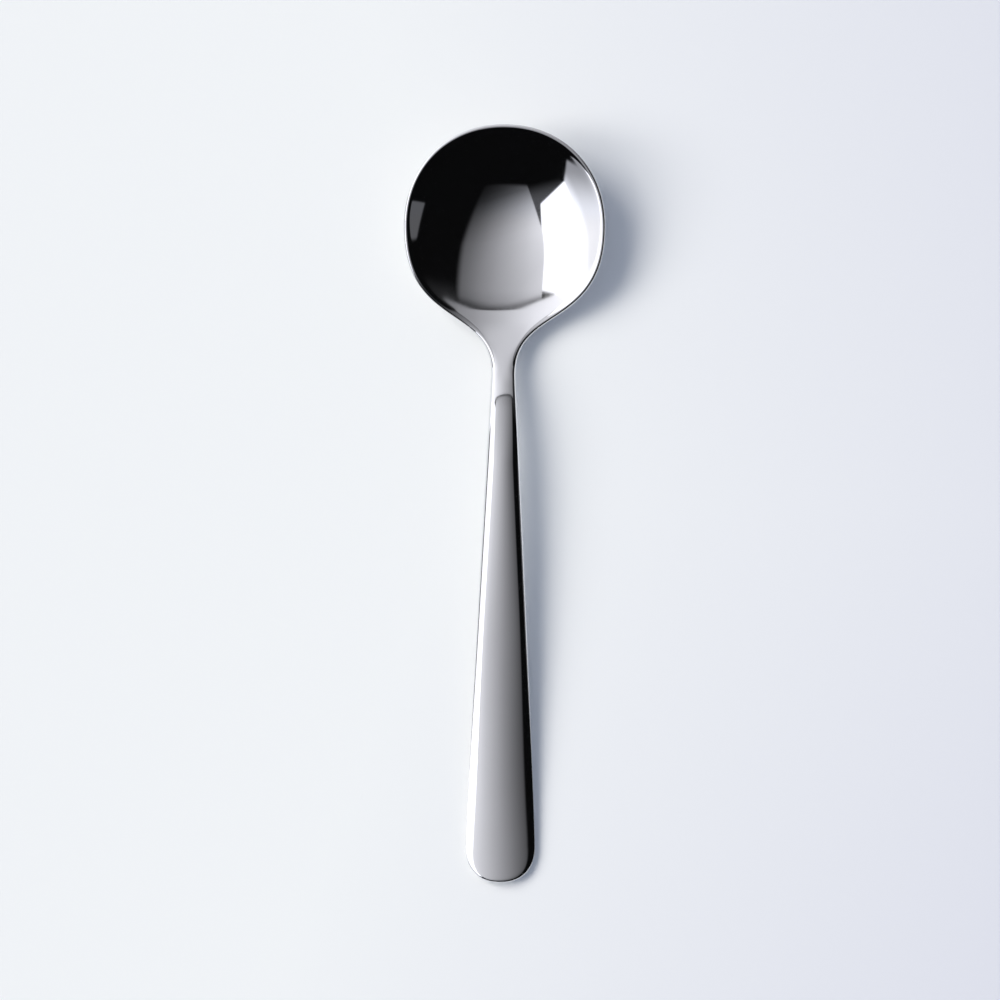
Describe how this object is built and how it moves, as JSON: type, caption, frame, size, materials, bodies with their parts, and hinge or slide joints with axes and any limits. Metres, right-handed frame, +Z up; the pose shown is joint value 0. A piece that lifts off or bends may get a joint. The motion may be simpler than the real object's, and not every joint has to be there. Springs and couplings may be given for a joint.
{
  "type": "soup spoon",
  "caption": "Soup spoon with a wide round dished bowl, a slim neck and a low arched handle that widens to a rounded end, in mirror-polished stainless steel.",
  "frame": {"origin": "on the table the spoon lies on, below the middle of its length and width", "axes": "+X across the spoon, +Y from the end of the handle to the tip of the bowl, +Z up out of the bowl"},
  "size_m": [0.0466, 0.1751, 0.0126],
  "materials": {
    "polished_steel": "mirror polished stainless steel"
  },
  "bodies": {
    "root": {"bowl": "polished_steel", "neck": "polished_steel", "handle": "polished_steel"}
  },
  "joints": []
}
